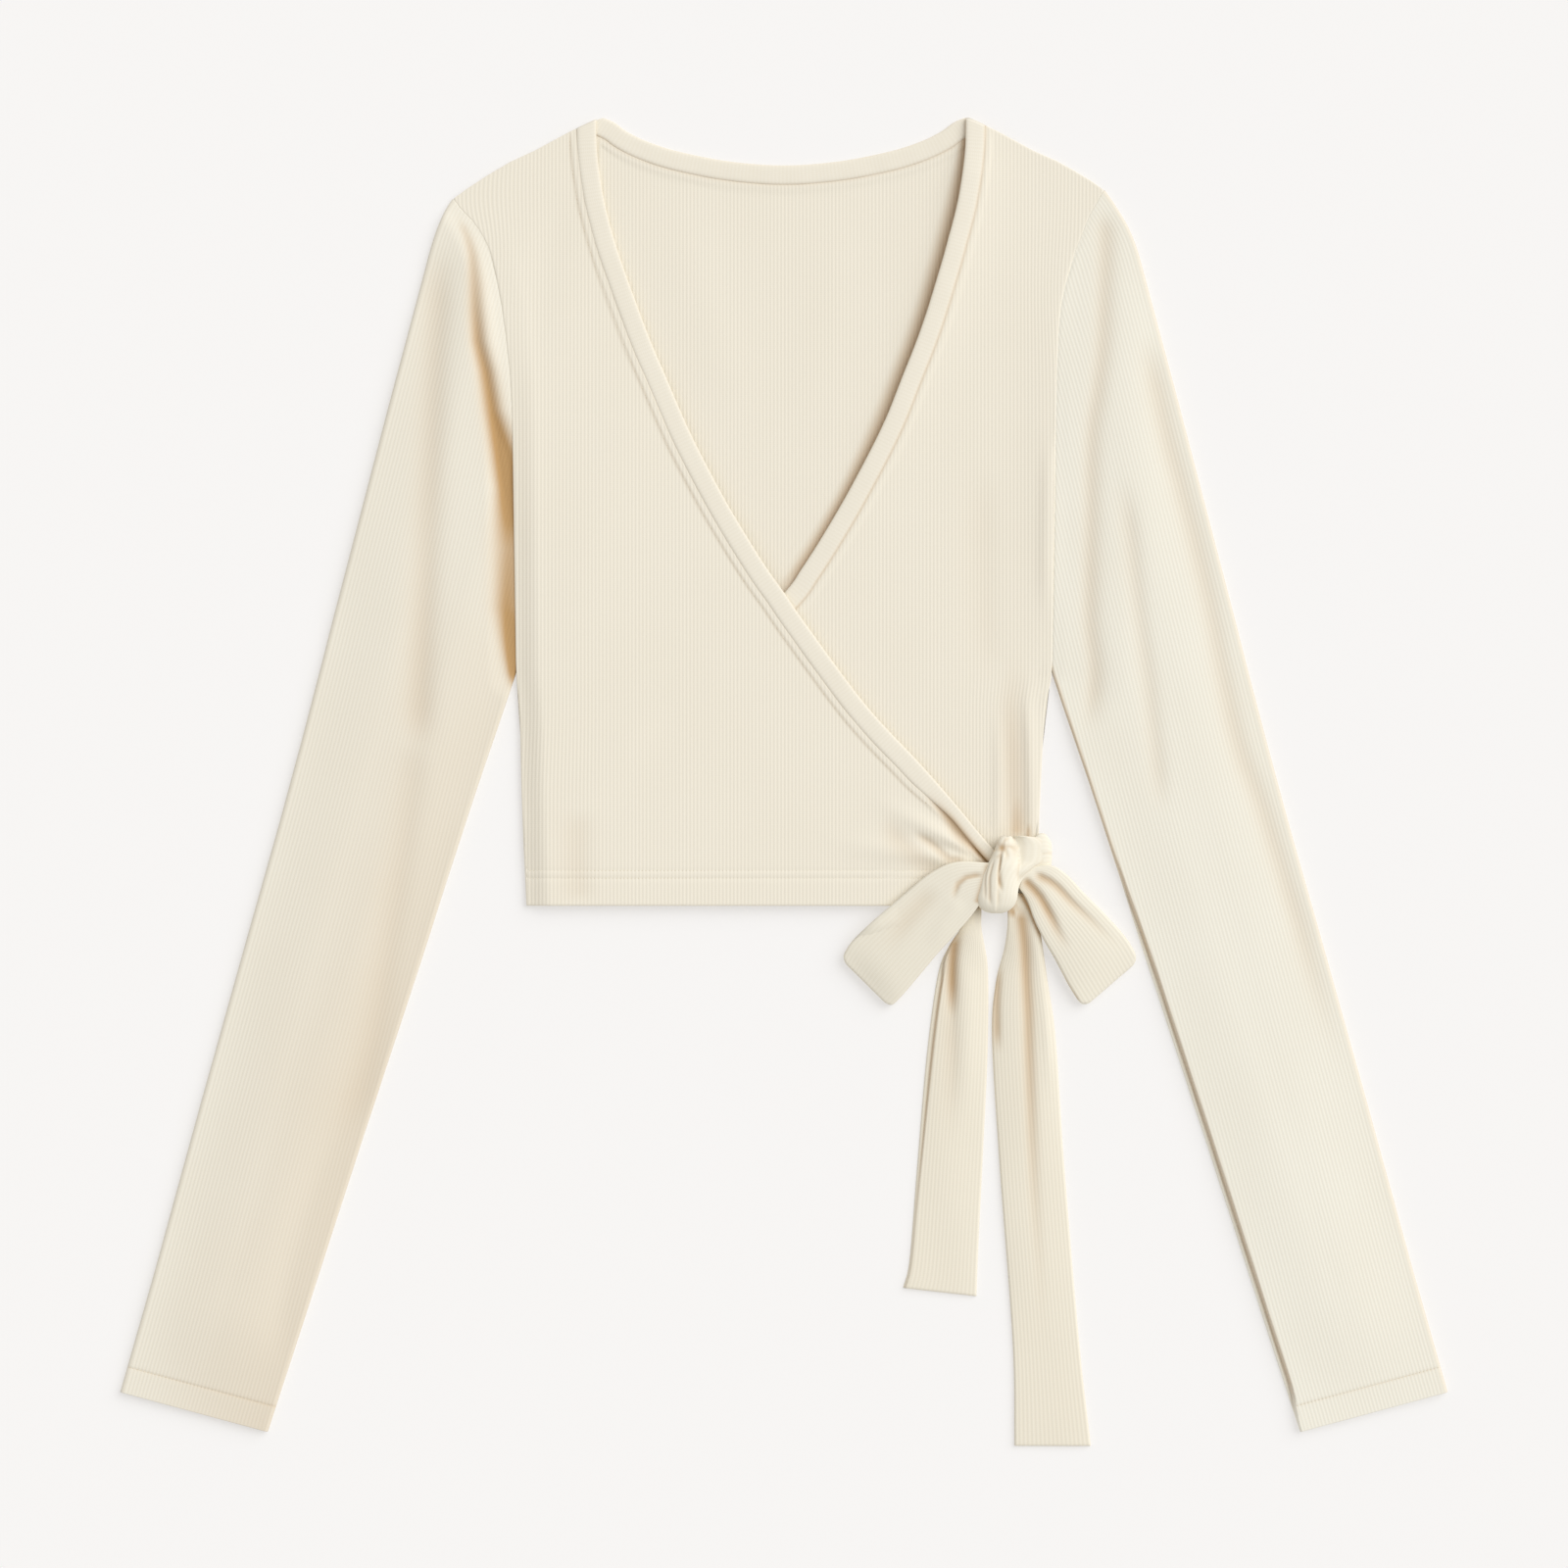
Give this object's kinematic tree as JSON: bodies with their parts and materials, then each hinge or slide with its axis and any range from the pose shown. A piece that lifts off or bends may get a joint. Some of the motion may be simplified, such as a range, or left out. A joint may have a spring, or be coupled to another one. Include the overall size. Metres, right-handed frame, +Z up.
{
  "type": "wrap top",
  "caption": "Cropped long-sleeved wrap top in cream rib jersey, laid flat with its crossed fronts tied in a bow at one side of the waist.",
  "frame": {"origin": "centre of the outline in plan, on the surface that the garment lies on", "axes": "+X to the side of the bow, +Y towards the neck, +Z up from the surface"},
  "size_m": [0.7308, 0.731, 0.0218],
  "materials": {
    "body_rib_jersey": "matt cotton rib jersey, cream",
    "inside_rib_jersey": "matt cotton rib jersey, cream, wrong side",
    "neckband_jersey": "matt jersey folded double, cream",
    "sleeve_rib_jersey": "matt cotton rib jersey, cream",
    "tie_rib_jersey": "matt cotton rib jersey folded double, cream"
  },
  "bodies": {
    "root": {"back_panel": "inside_rib_jersey", "front_under": "body_rib_jersey", "front_over": "body_rib_jersey", "neckband_back": "neckband_jersey", "neckband_under": "neckband_jersey", "neckband_over": "neckband_jersey", "sleeve_left": "sleeve_rib_jersey", "sleeve_right": "sleeve_rib_jersey", "waist_strap": "tie_rib_jersey", "knot": "tie_rib_jersey", "bow_loop_left": "tie_rib_jersey", "bow_loop_right": "tie_rib_jersey", "tie_tail_left": "tie_rib_jersey", "tie_tail_right": "tie_rib_jersey"}
  },
  "joints": []
}
